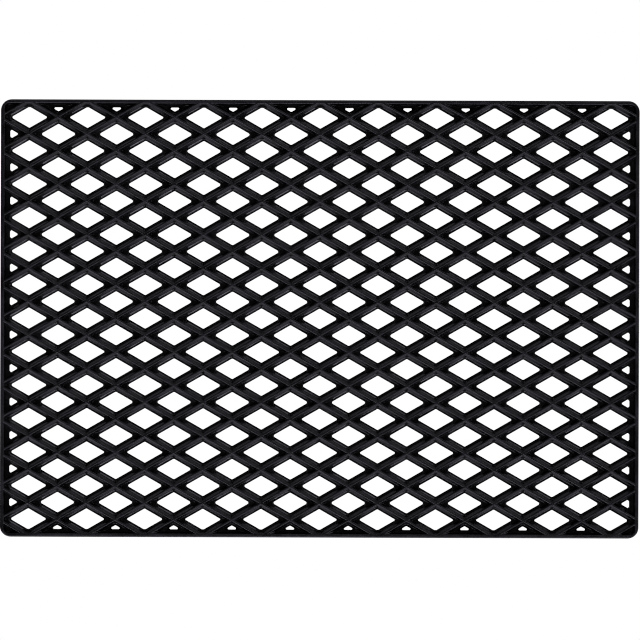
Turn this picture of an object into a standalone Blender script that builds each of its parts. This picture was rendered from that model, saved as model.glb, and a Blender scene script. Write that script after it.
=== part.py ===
"""Door mat: an open diamond lattice of black rubber, moulded in one piece.

The frame is in metres with +Z up. The origin is on the underside, at the middle of the mat. X runs
along the mat's length, Y across it, and the mat lies flat on the plane Z = 0.

Two families of straight ribs cross at equal distances and leave a diamond between every four
crossings. Each rib is narrow at its crown and spreads down to a thin web, and a diamond hole goes
through the web. A rim wall closes the lattice all round and cuts the outermost diamonds short.
"""

import math

import bmesh
import bpy
from mathutils import Matrix, Vector

# Overall sizes, metres
MAT_LENGTH = 0.584          # along X
MAT_WIDTH = 0.400           # along Y
MAT_HEIGHT = 0.010          # underside to rib crowns
CORNER_RADIUS = 0.010       # outline in plan
CORNER_STEPS = 6            # straight pieces in each quarter round

# Lattice
CELL_LENGTH = 0.053         # wanted distance between crossings along X
CELL_WIDTH = 0.0305         # wanted distance between crossings along Y
END_OVERHANG = 0.0013       # the last crossings lie this far outside the two ends
SIDE_INSET = 0.0006         # the last crossings lie this far inside the two long sides
CROWN_WIDTH = 0.0016        # top of a rib
BAND_WIDTH = 0.0095         # rib and web together, from hole to hole
WEB_THICKNESS = 0.002       # rubber at the edge of a hole

# Rim
RIM_WIDTH = 0.0034          # top of the rim wall
END_MARGIN = 0.0078         # from the end of the mat to the nearest hole
SIDE_MARGIN = 0.0066        # from the long side of the mat to the nearest hole
MIN_OPENING_AREA = 8e-6     # square metres; a cut diamond smaller than this gets no hole
BLIND_FLOOR = 0.004         # height of the floor in a diamond that has no hole

# Cutting tools reach this far past the faces that they cut
CUT_REACH = 0.002

TOUCH = 1e-7                       # points nearer to a plane than this lie in it
FLAT_ANGLE = math.radians(0.01)    # faces that meet at less than this are one face
QUARTER_TURN = math.radians(90)

RUBBER_COLOUR = (0.016, 0.016, 0.018, 1.0)
RUBBER_ROUGHNESS = 0.55

# The wanted cell sizes give whole numbers of cells, and the cells then fill the mat exactly
CELLS_LONG = max(1, round(MAT_LENGTH / CELL_LENGTH))
CELLS_WIDE = max(1, round(MAT_WIDTH / CELL_WIDTH))
HALF_CELL_X = (MAT_LENGTH + 2 * END_OVERHANG) / CELLS_LONG / 2
HALF_CELL_Y = (MAT_WIDTH - 2 * SIDE_INSET) / CELLS_WIDE / 2
RIB_ANGLE = math.atan2(HALF_CELL_Y, HALF_CELL_X)
RIB_REACH = HALF_CELL_X * math.sin(RIB_ANGLE)   # from a cell's middle square to its ribs' middles
UP = Vector((0, 0, 1))


def clear_scene():
    for item in list(bpy.data.objects):
        bpy.data.objects.remove(item, do_unlink=True)


def make_rubber():
    """The matt black rubber of the whole mat."""
    rubber = bpy.data.materials.new("black_rubber")
    rubber.use_nodes = True
    shader = rubber.node_tree.nodes["Principled BSDF"]
    shader.inputs["Base Color"].default_value = RUBBER_COLOUR
    shader.inputs["Roughness"].default_value = RUBBER_ROUGHNESS
    shader.inputs["Metallic"].default_value = 0.0
    return rubber


def add_object(name, bm):
    """A new scene object made from bm, with its normals pointing out."""
    bmesh.ops.recalc_face_normals(bm, faces=bm.faces)
    mesh = bpy.data.meshes.new(name)
    bm.to_mesh(mesh)
    bm.free()
    item = bpy.data.objects.new(name, mesh)
    bpy.context.collection.objects.link(item)
    return item


def rounded_outline():
    """Points of the mat's outline in plan, anticlockwise."""
    points = []
    for quarter in range(4):
        sign_x = 1 if quarter in (0, 3) else -1
        sign_y = 1 if quarter in (0, 1) else -1
        centre = Vector((sign_x * (MAT_LENGTH / 2 - CORNER_RADIUS),
                         sign_y * (MAT_WIDTH / 2 - CORNER_RADIUS), 0))
        for step in range(CORNER_STEPS + 1):
            turn = QUARTER_TURN * (quarter + step / CORNER_STEPS)
            points.append(centre + CORNER_RADIUS * Vector((math.cos(turn), math.sin(turn), 0)))
    return points


def make_blank():
    """The mat before its diamonds are cut: the outline raised to full height."""
    bm = bmesh.new()
    underside = bm.faces.new([bm.verts.new(point) for point in rounded_outline()])
    raised = bmesh.ops.extrude_face_region(bm, geom=[underside])["geom"]
    top = [item for item in raised if isinstance(item, bmesh.types.BMVert)]
    bmesh.ops.translate(bm, verts=top, vec=UP * MAT_HEIGHT)
    return add_object("lattice_mat", bm)


def flank(direction, crown_reach, web_reach):
    """A sloping plane as (point, outward normal). It faces along direction, which is horizontal, and
    lies crown_reach from the origin at the crowns' height and web_reach at the web's."""
    point = direction * web_reach + UP * WEB_THICKNESS
    normal = direction * (MAT_HEIGHT - WEB_THICKNESS) - UP * (crown_reach - web_reach)
    return point, normal.normalized()


def rib_flanks(middle):
    """The four flanks of the ribs around the cell at middle."""
    planes = []
    for sign_x in (-1, 1):
        for sign_y in (-1, 1):
            direction = Vector((sign_x * math.sin(RIB_ANGLE), sign_y * math.cos(RIB_ANGLE), 0))
            offset = direction.dot(middle) + RIB_REACH
            planes.append(flank(direction, offset - CROWN_WIDTH / 2, offset - BAND_WIDTH / 2))
    return planes


def rim_reach(direction, end_margin, side_margin):
    """How far a rounded rectangle reaches along direction, when it lies inside the mat's outline by
    end_margin at the ends and side_margin at the long sides."""
    radius = max(CORNER_RADIUS - max(end_margin, side_margin), 0)
    return (abs(direction.x) * (MAT_LENGTH / 2 - end_margin - radius)
            + abs(direction.y) * (MAT_WIDTH / 2 - side_margin - radius) + radius)


def rim_flanks():
    """The inner flanks of the rim wall: its four sides and the facets of its round corners."""
    planes = []
    for step in range(4 * CORNER_STEPS):
        turn = QUARTER_TURN * step / CORNER_STEPS
        direction = Vector((math.cos(turn), math.sin(turn), 0))
        planes.append(flank(direction, rim_reach(direction, RIM_WIDTH, RIM_WIDTH),
                            rim_reach(direction, END_MARGIN, SIDE_MARGIN)))
    return planes


def keep_inside(bm, point, normal):
    """Cuts the closed shape in bm by a plane and caps the cut. What lies past the plane goes."""
    if all((vert.co - point).dot(normal) < 0 for vert in bm.verts):
        return
    everything = bm.verts[:] + bm.edges[:] + bm.faces[:]
    cut = bmesh.ops.bisect_plane(bm, geom=everything, dist=TOUCH, plane_co=point, plane_no=normal,
                                 clear_outer=True)["geom_cut"]
    edges = [item for item in cut if isinstance(item, bmesh.types.BMEdge)]
    if edges:
        bmesh.ops.contextual_create(bm, geom=edges)


def face_at(bm, height):
    """The level face of bm at this height, or None."""
    for face in bm.faces:
        if all(abs(vert.co.z - height) < TOUCH for vert in face.verts):
            return face
    return None


def cut_cell(middle, rim_planes):
    """The space that one cell leaves open, as a closed shape, or None where the rim leaves no room.
    It is a funnel down to the web and, where the rim leaves enough of it, a hole through the web."""
    bm = bmesh.new()
    height = MAT_HEIGHT + CUT_REACH - WEB_THICKNESS
    size = Matrix.Diagonal((4 * HALF_CELL_X, 4 * HALF_CELL_Y, height, 1))
    place = Matrix.Translation(middle + UP * (WEB_THICKNESS + height / 2))
    bmesh.ops.create_cube(bm, size=1, matrix=place @ size)
    for point, normal in rib_flanks(middle) + rim_planes:
        keep_inside(bm, point, normal)
    opening = face_at(bm, WEB_THICKNESS)
    if opening and opening.calc_area() > MIN_OPENING_AREA:
        bmesh.ops.dissolve_limit(bm, angle_limit=FLAT_ANGLE, verts=bm.verts, edges=bm.edges)
        lower = bmesh.ops.extrude_discrete_faces(bm, faces=[face_at(bm, WEB_THICKNESS)])["faces"]
        bmesh.ops.translate(bm, verts=lower[0].verts, vec=UP * -(WEB_THICKNESS + CUT_REACH))
    elif bm.faces:
        keep_inside(bm, UP * BLIND_FLOOR, -UP)
    if not bm.faces:
        bm.free()
        return None
    return bm


def make_cell_cutter():
    """One tool with a separate closed shape for every cell that reaches inside the rim."""
    everything = bmesh.new()
    rim_planes = rim_flanks()
    for column in range(-CELLS_LONG, CELLS_LONG + 1):
        for row in range(-CELLS_WIDE, CELLS_WIDE + 1):
            if (column + row) % 2:
                continue
            bm = cut_cell(Vector((column * HALF_CELL_X, row * HALF_CELL_Y, 0)), rim_planes)
            if bm:
                bmesh.ops.recalc_face_normals(bm, faces=bm.faces)
                part = bpy.data.meshes.new("cell")
                bm.to_mesh(part)
                bm.free()
                everything.from_mesh(part)
                bpy.data.meshes.remove(part)
    cutter = add_object("cell_cutter", everything)
    cutter.hide_render = True
    cutter.display_type = "WIRE"
    return cutter


def main():
    clear_scene()
    mat = make_blank()
    mat.data.materials.append(make_rubber())
    cut = mat.modifiers.new("diamonds", "BOOLEAN")
    cut.operation = "DIFFERENCE"
    cut.solver = "EXACT"
    cut.object = make_cell_cutter()


main()
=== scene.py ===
"""A door mat of black rubber, moulded in one piece as a lattice of ribs round diamond openings.

The mat lies flat on Z = 0 with its middle at the origin, its length along X and its width along Y.
Two families of straight ribs cross. Every opening between them is one cell: steep rib walls go
down to a thin web, a sloping band surrounds the hole in the web, and a flat pocket is left in each
of the two sharp corners. A rim wall closes the lattice and cuts the outermost cells short.

The blank is one slab. A tool for each kind of cell is modelled once as a stack of rings, copied to
all its places and taken out of the slab.
"""

import math

import bmesh
import bpy
from mathutils import Matrix, Vector


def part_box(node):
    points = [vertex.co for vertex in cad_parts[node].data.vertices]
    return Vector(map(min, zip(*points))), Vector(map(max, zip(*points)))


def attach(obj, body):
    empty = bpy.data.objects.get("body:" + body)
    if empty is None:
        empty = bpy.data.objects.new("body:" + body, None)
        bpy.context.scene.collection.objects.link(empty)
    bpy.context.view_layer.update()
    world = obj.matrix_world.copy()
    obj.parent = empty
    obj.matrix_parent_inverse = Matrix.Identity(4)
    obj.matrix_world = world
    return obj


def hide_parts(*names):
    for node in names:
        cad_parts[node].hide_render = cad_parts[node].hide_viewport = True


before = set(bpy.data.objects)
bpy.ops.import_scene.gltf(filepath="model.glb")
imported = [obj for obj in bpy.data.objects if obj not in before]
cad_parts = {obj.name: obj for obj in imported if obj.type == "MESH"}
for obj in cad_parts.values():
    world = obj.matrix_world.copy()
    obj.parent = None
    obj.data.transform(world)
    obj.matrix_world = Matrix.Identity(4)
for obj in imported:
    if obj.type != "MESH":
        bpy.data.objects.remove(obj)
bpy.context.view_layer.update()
MAT_LOW, MAT_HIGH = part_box("lattice_mat")

bl_info = {
    "name": "Diamond lattice door mat",
    "version": (1, 0, 0),
    "blender": (4, 5, 0),
    "location": "3D View > Sidebar > Door mat",
    "description": "Makes a moulded rubber door mat with diamond openings, and its studio",
    "category": "Object",
}

MM = 0.001

# The holes in these rows and columns of cells were made with slightly wider pins
WIDE_ROWS = (-12, -8, -6, -2, 12)
WIDE_COLUMNS = (-10, 6, 10)

# The rounded crown of a rib, as (from the rib's middle, below the top, rounding of the corners)
CROWN_SECTION = (
    (0.35 * MM, 0.02 * MM, 0.25 * MM),
    (0.60 * MM, 0.10 * MM, 0.30 * MM),
    (0.80 * MM, 0.30 * MM, 0.35 * MM),
    (0.95 * MM, 0.60 * MM, 0.40 * MM),
    (1.12 * MM, 1.10 * MM, 0.50 * MM),
)
FILLET_RISE = 0.5 * MM       # the fillet at a wall's foot starts this far above the web
FILLET_ROUNDING = 0.70 * MM
FOOT_RISE = 0.05 * MM        # and ends this far above it
FOOT_ROUNDING = 0.80 * MM
POCKET_EDGE = 0.15 * MM      # from a wall's foot to the level floor of the pockets
BAND_RISE = 0.25 * MM        # the band's low edge lies this far above the edge of the hole
EDGE_BREAK = 0.05 * MM       # width of the broken upper edge of a hole
EDGE_DEPTH = 0.20 * MM       # and its depth
TOOL_ABOVE = 0.6 * MM        # the tools reach this far past the crowns
TOOL_BELOW = 1.0 * MM        # and past the underside
BLIND_CLEAR = 1.0 * MM       # a cell without a hole keeps the rings this far above its floor
BLIND_LEAN = 0.35 * MM       # and its floor ends this far inside a wall's foot
BLIND_ROUNDING = 0.60 * MM
LEAST_FLAT = 0.8 * MM        # a cell next to the rim loses at least this much of its corner

OUTLINE_STEPS = 10
EDGE_STEPS = 4
FOOT_STEPS = 2
SMOOTH_ANGLE = math.radians(35)


def length_property(name, description, default):
    """A size in metres."""
    return bpy.props.FloatProperty(name=name, description=description, default=default,
                                   min=0.0, unit="LENGTH", precision=5)


def plain_property(name, description, default):
    """A number without a unit."""
    return bpy.props.FloatProperty(name=name, description=description, default=default,
                                   min=0.0, precision=3)


def colour_property(name, description, default):
    """A linear colour."""
    return bpy.props.FloatVectorProperty(name=name, description=description, default=default,
                                         subtype="COLOR", size=3, min=0.0, max=1.0)


class MatSizes(bpy.types.PropertyGroup):
    """The outline of the mat, its lattice and the section of its ribs."""

    corner_radius: length_property("Corner radius", "Outline of the mat in plan", 10 * MM)
    edge_radius: length_property("Edge radius", "Outer upper edge of the rim", 1.1 * MM)
    foot_radius: length_property("Foot radius", "Outer lower edge of the rim", 0.4 * MM)
    cells_long: bpy.props.IntProperty(name="Cells along", default=11, min=1,
                                      description="Crossings from end to end")
    cells_wide: bpy.props.IntProperty(name="Cells across", default=13, min=1,
                                      description="Crossings from side to side")
    end_overhang: length_property("End overhang", "Last crossings lie outside the ends", 1.3 * MM)
    side_inset: length_property("Side inset", "Last crossings lie inside the sides", 0.6 * MM)
    crown_radius: length_property("Crown radius", "Rounded top of a rib", 0.8 * MM)
    wall_foot: length_property("Wall foot", "From a rib's middle to its wall's foot", 2.60 * MM)
    foot_fillet: length_property("Foot fillet", "Rounding between wall and web", 0.30 * MM)
    web_height: length_property("Web height", "Top of the web at the walls' feet", 3.6 * MM)
    band_edge: length_property("Band edge", "From a rib's middle to the band's low edge", 4.75 * MM)
    land_height: length_property("Land height", "Rubber at the edge of a hole", 1.6 * MM)
    hole_inset: length_property("Hole inset", "From a rib's middle to the hole", 5.07 * MM)
    hole_corner: length_property("Hole corner", "Rounding of a hole's corners", 1.40 * MM)
    wide_relief: length_property("Wide relief", "Taken off all round a wide hole", 0.22 * MM)
    rim_relief: length_property("Rim relief", "Taken off round a hole cut short by the rim",
                                0.30 * MM)
    rim_hole_corner: length_property("Rim hole corner", "Rounding of such a hole's corners",
                                     1.05 * MM)
    pocket_corner: length_property("Pocket corner", "Rounding of the band's upper edge", 5.0 * MM)
    rim_crown: length_property("Rim crown", "Top of the rim wall", 3.4 * MM)
    rim_lean: plain_property("Rim lean", "The rim wall leans this much of a rib wall's lean", 0.75)
    rim_band: length_property("Rim band", "Width of the band between rim and hole", 0.7 * MM)
    end_margin: length_property("End margin", "From the mat's ends to the holes", 8.10 * MM)
    side_margin: length_property("Side margin", "From the mat's sides to the holes", 6.95 * MM)
    blind_floor: length_property("Blind floor", "Floor of a cell without a hole", 4.0 * MM)


class RubberFinish(bpy.types.PropertyGroup):
    """The moulded black rubber."""

    # Painted shade: the pocket colour darkens the rubber in the pockets and round the holes, where
    # shade falls
    pocket_shade_colour: colour_property("Deep colour", "Rubber in the pockets", (0.0024, 0.0023, 0.0029))
    crown_colour: colour_property("Crown colour", "Rubber rubbed on the crowns",
                                  (0.0155, 0.0151, 0.0173))
    deep_roughness: plain_property("Deep roughness", "Gloss of the moulded skin", 0.24)
    crown_roughness: plain_property("Crown roughness", "Gloss of the rubbed crowns", 0.36)
    roughness_spread: plain_property("Roughness spread", "How much the gloss wanders", 0.70)
    mottle_size: length_property("Mottle size", "Width of the duller and glossier patches",
                                 22 * MM)
    ripple_size: length_property("Ripple size", "Length of the unevenness of the walls", 5 * MM)
    ripple_depth: length_property("Ripple depth", "Height of the unevenness", 0.17 * MM)
    dust_size: length_property("Dust size", "Width of the grey specks", 1.4 * MM)
    dust_colour: colour_property("Dust colour", "Fine dust on the crowns", (0.070, 0.068, 0.074))
    grain_size: length_property("Grain size", "Width of the fine moulded grain", 0.35 * MM)
    grain_depth: length_property("Grain depth", "Height of the fine moulded grain", 0.012 * MM)


class StudioSettings(bpy.types.PropertyGroup):
    """The floor, the lights and the camera."""

    floor_size: length_property("Floor size", "Side of the floor", 60.0)
    floor_glow: plain_property("Floor glow", "Brightness of the backlit floor", 1.0)
    floor_shade: plain_property("Floor shade", "How pale the floor's paper is", 0.8)
    room_light: plain_property("Room light", "Dim even light from all round", 0.04)
    sharpness: plain_property("Sharpness", "Softening filter's width; smaller is crisper", 1.05)
    camera_height: length_property("Camera height", "Camera above the floor", 3.0)
    view_width: length_property("View width", "Width of the view at the crowns", 0.5850)


# Corners ----------------------------------------------------------------------------------------

SHARP_TURN = math.radians(100)   # a corner with a smaller angle than this gets the finer rounding
SHARP_STEPS = 5
BLUNT_STEPS = 2
SIDE_SHARE = 0.49                # an arc takes up at most this much of the shorter side
TOUCH = 1e-6                     # points nearer than this are in one place


class Ring:
    """One level outline of a cell: how far it lies from the ribs' middles, and its height."""

    def __init__(self, inset, height, corner, side, end):
        self.inset = inset
        self.height = height
        self.corner = corner
        self.side = side
        self.end = end


class Lattice:
    """Where the cells lie, worked out from the sizes."""

    def __init__(self, sizes):
        self.sizes = sizes
        self.length = MAT_HIGH.x - MAT_LOW.x
        self.width = MAT_HIGH.y - MAT_LOW.y
        self.height = MAT_HIGH.z - MAT_LOW.z
        self.step_x = (self.length + 2 * sizes.end_overhang) / sizes.cells_long / 2
        self.step_y = (self.width - 2 * sizes.side_inset) / sizes.cells_wide / 2
        self.angle = math.atan2(self.step_y, self.step_x)

    def rings(self, kind):
        """The rings of a cell with a hole, from above the crowns to below the underside."""
        s = self.sizes
        relief = s.wide_relief if kind[2] else 0.0
        corner = s.hole_corner - 2 * relief
        if 0 in kind[:2]:
            relief, corner = s.rim_relief, s.rim_hole_corner
        top = self.height
        rim = s.rim_crown - s.crown_radius
        inset, _, rounding = CROWN_SECTION[0]
        levels = [(inset, top + TOOL_ABOVE, rounding)]
        levels += [(inset, top - depth, rounding) for inset, depth, rounding in CROWN_SECTION]
        levels += [(s.wall_foot - s.foot_fillet, s.web_height + FILLET_RISE, FILLET_ROUNDING),
                   (s.wall_foot, s.web_height + FOOT_RISE, FOOT_ROUNDING)]
        made = []
        for inset, height, rounding in levels:
            wall = rim + s.rim_lean * min(inset, s.wall_foot - s.foot_fillet)
            made.append(Ring(inset, height, rounding, wall, wall))
        made.append(Ring(s.wall_foot + POCKET_EDGE, s.web_height, s.pocket_corner,
                         s.side_margin - s.rim_band, s.end_margin - s.rim_band))
        for reach, height in ((s.hole_inset - s.band_edge, s.land_height + BAND_RISE),
                              (EDGE_BREAK, s.land_height),
                              (0.0, s.land_height - EDGE_DEPTH), (0.0, -TOOL_BELOW)):
            back = relief + reach
            made.append(Ring(s.hole_inset - back, height, corner + reach, s.side_margin - back,
                             s.end_margin - back))
        return made

    def blind_rings(self):
        """The rings of a cell without a hole."""
        upper = [ring for ring in self.rings((0, 0, False))
                 if ring.height > self.sizes.blind_floor + BLIND_CLEAR]
        inset = self.sizes.wall_foot - BLIND_LEAN
        rim = self.sizes.rim_crown - self.sizes.crown_radius + inset
        upper.append(Ring(inset, self.sizes.blind_floor, BLIND_ROUNDING, rim, rim))
        return upper

    def is_blind(self, column, row):
        """True for the four cells that the mat's corners leave too small for a hole."""
        return column == self.sizes.cells_long and row == self.sizes.cells_wide

    def kind(self, column, row):
        """Cells alike, but for their place, have the same kind: how near they are to the rim."""
        wide = row % 2 == 0 and (row in WIDE_ROWS or column in WIDE_COLUMNS)
        return (min(max(abs(column) - self.sizes.cells_long, -2), 0),
                min(max(abs(row) - self.sizes.cells_wide, -2), 0), wide)

    def places(self):
        """Every cell as (column, row), counted in half cells from the middle."""
        for column in range(-self.sizes.cells_long, self.sizes.cells_long + 1):
            for row in range(-self.sizes.cells_wide, self.sizes.cells_wide + 1):
                if (column + row) % 2 == 0:
                    yield column, row


def object_mode():
    """Leaves edit mode with nothing selected."""
    if bpy.context.mode != "OBJECT":
        bpy.ops.object.mode_set(mode="OBJECT")
    bpy.ops.object.select_all(action="DESELECT")


def make_active(item):
    """Selects this object and no other."""
    object_mode()
    item.select_set(True)
    bpy.context.view_layer.objects.active = item


def select_verts(item, test):
    """In edit mode, selects the vertices that pass the test and the edges and faces among them."""
    bpy.ops.mesh.select_mode(type="VERT")
    bm = bmesh.from_edit_mesh(item.data)
    for part in bm.faces[:] + bm.edges[:] + bm.verts[:]:
        part.select = False
    for vert in bm.verts:
        if test(vert.co):
            vert.select = True
    bm.select_flush_mode()
    bmesh.update_edit_mesh(item.data)


def select_edges(item, test):
    """In edit mode, selects the edges whose two ends pass the test, and no faces."""
    bpy.ops.mesh.select_mode(type="EDGE")
    bm = bmesh.from_edit_mesh(item.data)
    for part in bm.faces[:] + bm.edges[:] + bm.verts[:]:
        part.select = False
    for edge in bm.edges:
        if test(edge.verts[0].co, edge.verts[1].co):
            edge.select = True
    bm.select_flush_mode()
    bmesh.update_edit_mesh(item.data)


def ring_corners(item, height):
    """The corners of the newest ring as (place, half of the angle, shorter side)."""
    bm = bmesh.from_edit_mesh(item.data)
    found = []
    for vert in bm.verts:
        if abs(vert.co.z - height) < TOUCH:
            one, two = [edge.other_vert(vert).co - vert.co for edge in vert.link_edges]
            found.append((vert.co.copy(), one.angle(two) / 2, min(one.length, two.length)))
    return found


def round_corner(item, place, half, side, radius):
    """Rounds one corner of a ring to a true arc."""
    select_verts(item, lambda co: (co - place).length < TOUCH)
    offset = min(radius / math.tan(half), SIDE_SHARE * side)
    bow = (1 - 1 / (2 * (1 + math.sin(half)))) ** 2
    steps = SHARP_STEPS if 2 * half < SHARP_TURN else BLUNT_STEPS
    bpy.ops.mesh.bevel(affect="VERTICES", offset_type="OFFSET", offset=offset, segments=steps,
                       profile=bow, clamp_overlap=True)


def add_ring(item, lattice, ring, column, row):
    """Adds one ring to the cell being modelled, about the cell's own middle."""
    height = ring.height
    reach_x = lattice.step_x - ring.inset / math.sin(lattice.angle)
    reach_y = lattice.step_y - ring.inset / math.cos(lattice.angle)
    bpy.ops.mesh.select_all(action="DESELECT")
    bpy.ops.mesh.primitive_circle_add(vertices=4, radius=reach_x, fill_type="NGON",
                                      location=(0, 0, height))
    bpy.ops.transform.resize(value=(1, reach_y / reach_x, 1), center_override=(0, 0, height))
    kind_x, kind_y, _ = lattice.kind(column, row)
    rim_x = lattice.length / 2 - ring.end - column * lattice.step_x
    rim_y = lattice.width / 2 - ring.side - row * lattice.step_y
    if kind_x == -1:
        rim_x = min(rim_x, reach_x - LEAST_FLAT / math.tan(lattice.angle))
    if kind_y == -1:
        rim_y = min(rim_y, reach_y - LEAST_FLAT * math.tan(lattice.angle))
    for near, reach, axis in ((kind_x > -2, rim_x, Vector((1, 0, 0))),
                              (kind_y > -2, rim_y, Vector((0, 1, 0)))):
        if near:
            select_verts(item, lambda co: abs(co.z - height) < TOUCH)
            bpy.ops.mesh.bisect(plane_co=axis * reach, plane_no=axis, clear_outer=True)
    for place, half, side in ring_corners(item, height):
        radius = ring.corner
        if kind_x == 0 and kind_y == 0 and place.x > rim_x - TOUCH and place.y > rim_y - TOUCH:
            radius = max(radius, lattice.sizes.corner_radius - ring.end)
        round_corner(item, place, half, side, radius)


def model_cell(lattice, kind, column, row):
    """The tool for one kind of cell: a stack of rings, joined from each to the next."""
    object_mode()
    rings = lattice.blind_rings() if lattice.is_blind(column, row) else lattice.rings(kind)
    bpy.ops.mesh.primitive_circle_add(vertices=4, radius=lattice.step_x, location=(0, 0, 1))
    item = bpy.context.active_object
    item.name = "cell_tool"
    item.location = (0, 0, 0)
    bpy.ops.object.mode_set(mode="EDIT")
    bpy.ops.mesh.select_all(action="SELECT")
    bpy.ops.mesh.delete(type="VERT")
    for ring in rings:
        add_ring(item, lattice, ring, column, row)
    heights = [ring.height for ring in rings]
    for height in heights[1:-1]:
        select_verts(item, lambda co: abs(co.z - height) < TOUCH)
        bpy.ops.mesh.delete(type="ONLY_FACE")
    for upper, lower in zip(heights, heights[1:]):
        select_edges(item, lambda a, b: abs(a.z - b.z) < TOUCH
                     and min(abs(a.z - upper), abs(a.z - lower)) < TOUCH)
        bpy.ops.mesh.bridge_edge_loops()
    bpy.ops.mesh.select_all(action="SELECT")
    bpy.ops.mesh.normals_make_consistent(inside=False)
    bpy.ops.object.mode_set(mode="OBJECT")
    return item


def copy_cell(tool, lattice, column, row):
    """A copy of a tool with its own mesh, turned over where needed and moved to its place."""
    item = tool.copy()
    item.data = tool.data.copy()
    bpy.context.collection.objects.link(item)
    flip = Matrix.Diagonal((-1 if column < 0 else 1, -1 if row < 0 else 1, 1, 1))
    item.data.transform(flip)
    shift = Vector((column * lattice.step_x, row * lattice.step_y, 0))
    item.data.transform(Matrix.Translation(shift))
    if (column < 0) != (row < 0):
        item.data.flip_normals()
    return item


def make_tools(lattice, wanted, name):
    """Models each kind of cell among the wanted places once, copies it and joins the copies."""
    models = {}
    copies = []
    for column, row in lattice.places():
        kind = lattice.kind(column, row)
        if not wanted(kind):
            continue
        if kind not in models:
            models[kind] = model_cell(lattice, kind, abs(column), abs(row))
        copies.append(copy_cell(models[kind], lattice, column, row))
    object_mode()
    for item in copies:
        item.select_set(True)
    bpy.context.view_layer.objects.active = copies[0]
    bpy.ops.object.join()
    joined = bpy.context.active_object
    joined.name = name
    for item in models.values():
        bpy.data.objects.remove(item, do_unlink=True)
    return joined


class DOORMAT_OT_blank(bpy.types.Operator):
    """Make the slab that the cells are taken out of"""

    bl_idname = "doormat.blank"
    bl_label = "Blank"
    bl_options = {"REGISTER", "UNDO"}

    def execute(self, context):
        sizes = context.scene.mat_sizes
        lattice = Lattice(sizes)
        object_mode()
        bpy.ops.mesh.primitive_cube_add(size=1, location=(MAT_LOW + MAT_HIGH) / 2,
                                        scale=(lattice.length, lattice.width, lattice.height))
        slab = context.active_object
        slab.name = "rubber_lattice"
        bpy.ops.object.transform_apply(location=True, rotation=True, scale=True)
        bpy.ops.object.mode_set(mode="EDIT")
        select_edges(slab, lambda a, b: abs(a.z - b.z) > lattice.height / 2)
        bpy.ops.mesh.bevel(affect="EDGES", offset=sizes.corner_radius, segments=OUTLINE_STEPS)
        select_edges(slab, lambda a, b: min(a.z, b.z) > MAT_HIGH.z - TOUCH)
        bpy.ops.mesh.bevel(affect="EDGES", offset=sizes.edge_radius, segments=EDGE_STEPS)
        select_edges(slab, lambda a, b: max(a.z, b.z) < MAT_LOW.z + TOUCH)
        bpy.ops.mesh.bevel(affect="EDGES", offset=sizes.foot_radius, segments=FOOT_STEPS)
        object_mode()
        return {"FINISHED"}


class DOORMAT_OT_open_cells(bpy.types.Operator):
    """Make the tools for the whole diamonds, away from the rim"""

    bl_idname = "doormat.open_cells"
    bl_label = "Open cells"
    bl_options = {"REGISTER", "UNDO"}

    def execute(self, context):
        make_tools(Lattice(context.scene.mat_sizes), lambda kind: kind[:2] == (-2, -2), "open_cells")
        return {"FINISHED"}


class DOORMAT_OT_rim_cells(bpy.types.Operator):
    """Make the tools for the cells that the rim touches or cuts short"""

    bl_idname = "doormat.rim_cells"
    bl_label = "Rim cells"
    bl_options = {"REGISTER", "UNDO"}

    def execute(self, context):
        make_tools(Lattice(context.scene.mat_sizes), lambda kind: kind[:2] != (-2, -2), "rim_cells")
        return {"FINISHED"}


class DOORMAT_OT_lattice(bpy.types.Operator):
    """Take all the cells out of the slab"""

    bl_idname = "doormat.lattice"
    bl_label = "Lattice"
    bl_options = {"REGISTER", "UNDO"}

    def execute(self, context):
        slab = bpy.data.objects["rubber_lattice"]
        for name in ("open_cells", "rim_cells"):
            tool = bpy.data.objects[name]
            make_active(slab)
            cut = slab.modifiers.new(name, "BOOLEAN")
            cut.operation = "DIFFERENCE"
            cut.solver = "MANIFOLD"
            cut.object = tool
            bpy.ops.object.modifier_apply(modifier=cut.name)
            bpy.data.objects.remove(tool, do_unlink=True)
        make_active(slab)
        bpy.ops.object.shade_smooth_by_angle(angle=SMOOTH_ANGLE)
        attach(slab, "root")
        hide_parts("lattice_mat")
        object_mode()
        return {"FINISHED"}


# Finish -----------------------------------------------------------------------------------------

class Signal:
    """A number that varies over a surface. Maths on signals adds the nodes that do it."""

    def __init__(self, tree, socket):
        self.tree = tree
        self.socket = socket

    def combine(self, operation, one, two, clamp=False):
        settings = {"operation": operation, "use_clamp": clamp}
        return Signal(self.tree, self.tree.node("ShaderNodeMath", settings, {0: one, 1: two}))

    def __add__(self, other):
        return self.combine("ADD", self, other)

    def __radd__(self, other):
        return self.combine("ADD", other, self)

    def __sub__(self, other):
        return self.combine("SUBTRACT", self, other)

    def __rsub__(self, other):
        return self.combine("SUBTRACT", other, self)

    def __mul__(self, other):
        return self.combine("MULTIPLY", self, other)

    def __rmul__(self, other):
        return self.combine("MULTIPLY", other, self)

    def __truediv__(self, other):
        return self.combine("DIVIDE", self, other)

    def __rtruediv__(self, other):
        return self.combine("DIVIDE", other, self)

    def clamped(self):
        return self.combine("ADD", self, 0.0, clamp=True)


class NodeTree:
    """A node tree that is filled by calls in the order in which the signal flows."""

    def __init__(self, tree):
        self.tree = tree

    def add(self, kind, settings=None, inputs=None):
        """Adds one node: its settings first, and then the values or links of its sockets."""
        made = self.tree.nodes.new(kind)
        for name, value in (settings or {}).items():
            setattr(made, name, value)
        for name, value in (inputs or {}).items():
            source = value.socket if isinstance(value, Signal) else value
            if isinstance(source, bpy.types.NodeSocket):
                self.tree.links.new(source, made.inputs[name])
            else:
                made.inputs[name].default_value = source
        return made

    def node(self, kind, settings=None, inputs=None, output=0):
        """Adds one node and returns one of its outputs."""
        return self.add(kind, settings, inputs).outputs[output]

    def signal(self, kind, settings=None, inputs=None, output=0):
        """Adds one node and returns one of its outputs, ready for maths."""
        return Signal(self, self.node(kind, settings, inputs, output))


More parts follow.
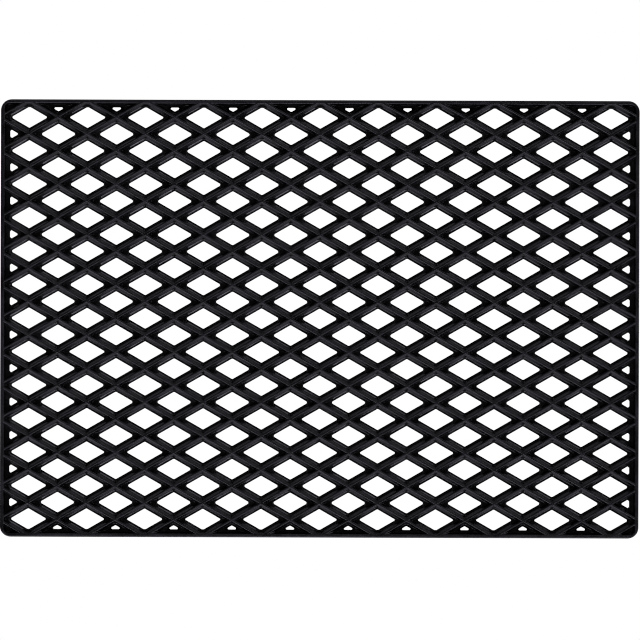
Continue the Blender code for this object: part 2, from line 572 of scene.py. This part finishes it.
RUB_AND_SHADE_DEPTH = 2.4 * MM       # feet rub the crowns down to here, and below it the rubber is painted darker as shade in the pockets
RUB_AND_SHADE_SPAN = 2.2 * MM        # and fully from this much higher up


def cloud(tree, place, size, detail, roughness):
    """A soft noise from 0 to 1, with patches of about this size."""
    return tree.signal("ShaderNodeTexNoise", inputs={
        "Vector": place, "Scale": 1 / size, "Detail": detail, "Roughness": roughness})


def blend(tree, share, one, two):
    """A colour between two colours."""
    return tree.node("ShaderNodeMix", {"data_type": "RGBA"}, {"Factor": share, 6: one, 7: two},
                     output=2)


def make_rubber(finish, lattice):
    """Black rubber: a glossy moulded skin, a little uneven, that is dull where feet rub it, with
    painted shade that colours it darker the lower it lies.
    """
    material = bpy.data.materials.new("black_rubber")
    material.use_nodes = True
    material.node_tree.nodes.clear()
    tree = NodeTree(material.node_tree)
    place = tree.node("ShaderNodeTexCoord", output="Object")
    height = tree.signal("ShaderNodeSeparateXYZ", inputs={"Vector": place}, output="Z")
    crown = ((height - (lattice.height - RUB_AND_SHADE_DEPTH)) / RUB_AND_SHADE_SPAN).clamped()
    patch = cloud(tree, place, finish.mottle_size, 5.0, 0.6) - 0.5
    ripple = cloud(tree, place, finish.ripple_size, 3.0, 0.5)
    grain = cloud(tree, place, finish.grain_size, 2.0, 0.5)
    speck = cloud(tree, place, finish.dust_size, 3.0, 0.7)
    # Painted shade mixed with wear: the colour goes from the dark pocket colour low down to the
    # crown colour on the rubbed crowns, with random patches
    wear_and_shade = (crown * (0.6 + patch * 3.0) + patch * 0.6).clamped()
    skin = blend(tree, wear_and_shade, (*finish.pocket_shade_colour, 1), (*finish.crown_colour, 1))
    dust = ((speck - 0.55) * 4.0).clamped() * (0.2 + crown * 0.6 + patch * 1.5).clamped()
    colour = blend(tree, dust, skin, (*finish.dust_colour, 1))
    rubbed = crown * (finish.crown_roughness - finish.deep_roughness)
    roughness = (finish.deep_roughness + rubbed + patch * finish.roughness_spread
                 + (ripple - 0.5) * 0.2 + dust * 0.2)
    unevenness = ripple * finish.ripple_depth + grain * finish.grain_depth
    bump = tree.node("ShaderNodeBump", inputs={
        "Strength": 1.0, "Distance": 1.0, "Height": unevenness})
    shader = tree.node("ShaderNodeBsdfPrincipled", inputs={
        "Base Color": colour, "Roughness": roughness.clamped(), "Normal": bump, "IOR": 1.5})
    tree.add("ShaderNodeOutputMaterial", inputs={"Surface": shader})
    return material


class DOORMAT_OT_rubber(bpy.types.Operator):
    """Give the lattice its rubber"""

    bl_idname = "doormat.rubber"
    bl_label = "Rubber"
    bl_options = {"REGISTER", "UNDO"}

    def execute(self, context):
        slab = bpy.data.objects["rubber_lattice"]
        slab.data.materials.clear()
        scene = context.scene
        slab.data.materials.append(make_rubber(scene.rubber_finish, Lattice(scene.mat_sizes)))
        return {"FINISHED"}


# Studio -----------------------------------------------------------------------------------------

# Soft lights as (azimuth, elevation, radiance). None stands overhead, so level rubber stays dark
SOFT_LIGHTS = ((0, 20, 3.2), (0, 46, 4.3), (0, 62, 0.7), (30, 32, 3.8), (60, 32, 1.6), (90, 8, 2.0),
               (120, 8, 2.7), (150, 32, 1.5), (180, 20, 0.5), (180, 62, 0.8), (330, 8, 4.8),
               (330, 32, 1.2), (330, 46, 2.3))
LIGHT_SPREAD = 20                # how wide each light looks, in degrees
LIGHT_COLOUR = (0.97, 0.95, 1.10)
PAPER_ROUGHNESS = 0.9

CAMERA_AIM = (0.27 * MM, -1.0 * MM)
CAMERA_TURN = math.radians(0.18)
SENSOR_WIDTH = 36.0
SIGHT_END = 50.0                 # nothing further than this is seen


def make_floor(studio):
    """A wide floor that looks evenly white to the camera, and is plain pale paper to all else."""
    object_mode()
    bpy.ops.mesh.primitive_plane_add(size=studio.floor_size, location=(0, 0, 0))
    floor = bpy.context.active_object
    floor.name = "floor"
    bpy.ops.object.mode_set(mode="EDIT")
    bpy.ops.mesh.select_all(action="SELECT")
    bpy.ops.mesh.inset(thickness=studio.floor_size / 4)
    bpy.ops.object.mode_set(mode="OBJECT")
    material = bpy.data.materials.new("pale_floor")
    material.use_nodes = True
    material.node_tree.nodes.clear()
    tree = NodeTree(material.node_tree)
    paper = tree.node("ShaderNodeBsdfPrincipled", inputs={
        "Base Color": (studio.floor_shade, studio.floor_shade, studio.floor_shade, 1),
        "Roughness": PAPER_ROUGHNESS})
    glow = tree.node("ShaderNodeEmission", inputs={"Strength": studio.floor_glow})
    seen = tree.node("ShaderNodeLightPath", output="Is Camera Ray")
    shader = tree.node("ShaderNodeMixShader", inputs={"Fac": seen, 1: paper, 2: glow})
    tree.add("ShaderNodeOutputMaterial", inputs={"Surface": shader})
    floor.data.materials.append(material)


def make_sky(studio):
    """A room that looks white to the camera and gives only a dim light of its own."""
    world = bpy.data.worlds.new("studio")
    bpy.context.scene.world = world
    world.use_nodes = True
    world.node_tree.nodes.clear()
    tree = NodeTree(world.node_tree)
    dim = tree.node("ShaderNodeBackground", inputs={"Strength": studio.room_light})
    white = tree.node("ShaderNodeBackground", inputs={
        "Color": (1, 1, 1, 1), "Strength": studio.floor_glow})
    seen = tree.node("ShaderNodeLightPath", output="Is Camera Ray")
    shader = tree.node("ShaderNodeMixShader", inputs={"Fac": seen, 1: dim, 2: white})
    tree.add("ShaderNodeOutputWorld", inputs={"Surface": shader})


def add_soft_light(azimuth, elevation, radiance):
    """A far round soft light. Azimuth 0 stands at -Y, and 90 at +X; both angles are in degrees."""
    turn, rise = math.radians(azimuth), math.radians(elevation)
    towards = Vector((math.sin(turn) * math.cos(rise), -math.cos(turn) * math.cos(rise),
                      math.sin(rise)))
    name = f"soft_light_{azimuth}_{elevation}"
    lamp = bpy.data.lights.new(name, "SUN")
    lamp.angle = math.radians(LIGHT_SPREAD)
    lamp.energy = radiance * math.pi * math.sin(lamp.angle / 2) ** 2
    lamp.color = LIGHT_COLOUR
    item = bpy.data.objects.new(name, lamp)
    item.rotation_euler = towards.to_track_quat("Z", "Y").to_euler()
    bpy.context.collection.objects.link(item)


def make_camera(studio, lattice):
    """A long lens straight above the mat, with the mat's width up the picture."""
    lens = bpy.data.cameras.new("camera")
    lens.sensor_width = SENSOR_WIDTH
    distance = studio.camera_height - lattice.height
    lens.lens = lens.sensor_width * distance / studio.view_width
    lens.clip_end = SIGHT_END
    camera = bpy.data.objects.new("camera", lens)
    camera.location = (*CAMERA_AIM, studio.camera_height)
    camera.rotation_euler = (0, 0, CAMERA_TURN)
    bpy.context.collection.objects.link(camera)
    bpy.context.scene.camera = camera


class DOORMAT_OT_stage(bpy.types.Operator):
    """Set up the floor, the lights and the camera"""

    bl_idname = "doormat.stage"
    bl_label = "Stage"
    bl_options = {"REGISTER", "UNDO"}

    def execute(self, context):
        studio = context.scene.studio
        make_floor(studio)
        make_sky(studio)
        for light in SOFT_LIGHTS:
            add_soft_light(*light)
        make_camera(studio, Lattice(context.scene.mat_sizes))
        context.scene.view_settings.view_transform = "Standard"
        context.scene.cycles.filter_width = studio.sharpness
        return {"FINISHED"}


class DOORMAT_PT_panel(bpy.types.Panel):
    """Sizes, finish and studio of the door mat"""

    bl_label = "Door mat"
    bl_idname = "DOORMAT_PT_panel"
    bl_space_type = "VIEW_3D"
    bl_region_type = "UI"
    bl_category = "Door mat"

    def draw(self, context):
        scene = context.scene
        for title, group in (("Mat", scene.mat_sizes), ("Rubber", scene.rubber_finish),
                             ("Studio", scene.studio)):
            box = self.layout.box()
            box.label(text=title)
            for name in group.__annotations__:
                box.prop(group, name)
        for operator in OPERATORS:
            self.layout.operator(operator.bl_idname)


GROUPS = {"mat_sizes": MatSizes, "rubber_finish": RubberFinish, "studio": StudioSettings}
OPERATORS = (DOORMAT_OT_blank, DOORMAT_OT_open_cells, DOORMAT_OT_rim_cells, DOORMAT_OT_lattice,
             DOORMAT_OT_rubber, DOORMAT_OT_stage)


def register():
    for name, group in GROUPS.items():
        bpy.utils.register_class(group)
        setattr(bpy.types.Scene, name, bpy.props.PointerProperty(type=group))
    for item in (*OPERATORS, DOORMAT_PT_panel):
        bpy.utils.register_class(item)


def unregister():
    for item in (DOORMAT_PT_panel, *reversed(OPERATORS)):
        bpy.utils.unregister_class(item)
    for name, group in GROUPS.items():
        delattr(bpy.types.Scene, name)
        bpy.utils.unregister_class(group)


def main():
    register()
    bpy.ops.doormat.blank()
    bpy.ops.doormat.open_cells()
    bpy.ops.doormat.rim_cells()
    bpy.ops.doormat.lattice()
    bpy.ops.doormat.rubber()
    bpy.ops.doormat.stage()


if __name__ == "__main__":
    main()
